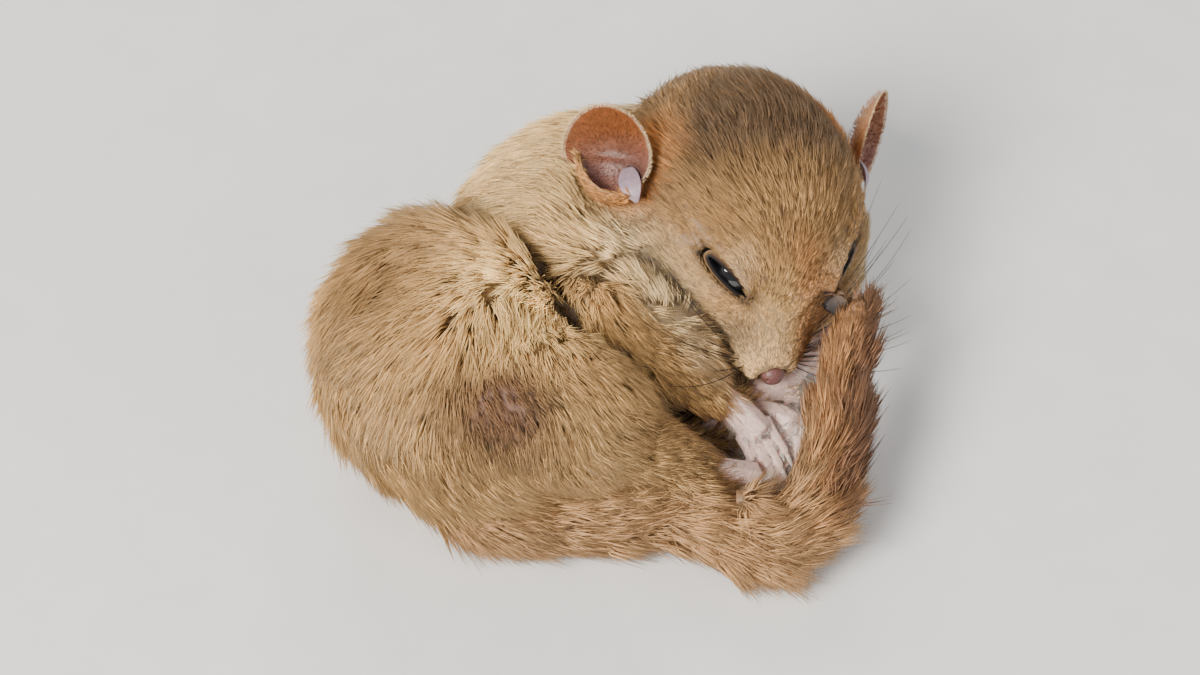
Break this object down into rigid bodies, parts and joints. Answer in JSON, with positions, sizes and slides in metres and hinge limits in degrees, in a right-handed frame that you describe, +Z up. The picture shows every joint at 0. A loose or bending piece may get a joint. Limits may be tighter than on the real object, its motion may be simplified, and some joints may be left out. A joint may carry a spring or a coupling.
{
  "type": "dormouse model",
  "caption": "Life-size museum-style model of a small golden rodent asleep, curled on its side with its bushy tail wrapped round to its brow",
  "frame": {"origin": "on the floor under the middle of the curled animal, which lies on its left side", "axes": "+Z up, the brow towards +X and the rump towards -X, the muzzle and the bend of the tail towards -Y"},
  "size_m": [0.0524, 0.0472, 0.0283],
  "materials": {
    "coat": "short dense fur, golden tan",
    "coat_pale": "short dense fur, pale gold",
    "coat_tail": "bushy fur, brown gold",
    "skin": "matte pink skin with sparse pale hairs",
    "ear_skin": "thin matte brown skin with fine down",
    "nose_skin": "moist pink-brown skin",
    "eye": "wet glossy black"
  },
  "bodies": {
    "root": {"head": "coat", "nose": "nose_skin", "eye_right": "eye", "eye_left": "eye", "ear_right": "ear_skin", "ear_left": "ear_skin", "neck": "coat_pale", "chest": "coat_pale", "rump": "coat", "thigh_right": "coat", "thigh_left": "coat", "shank_right": "coat", "arm_right": "coat_pale", "arm_left": "coat_pale", "hand_right": "skin", "hand_left": "skin", "foot_right": "skin", "foot_left": "skin", "tail_1": "coat_tail", "tail_2": "coat_tail", "tail_3": "coat_tail", "tail_4": "coat_tail", "tail_5": "coat_tail"}
  },
  "joints": []
}
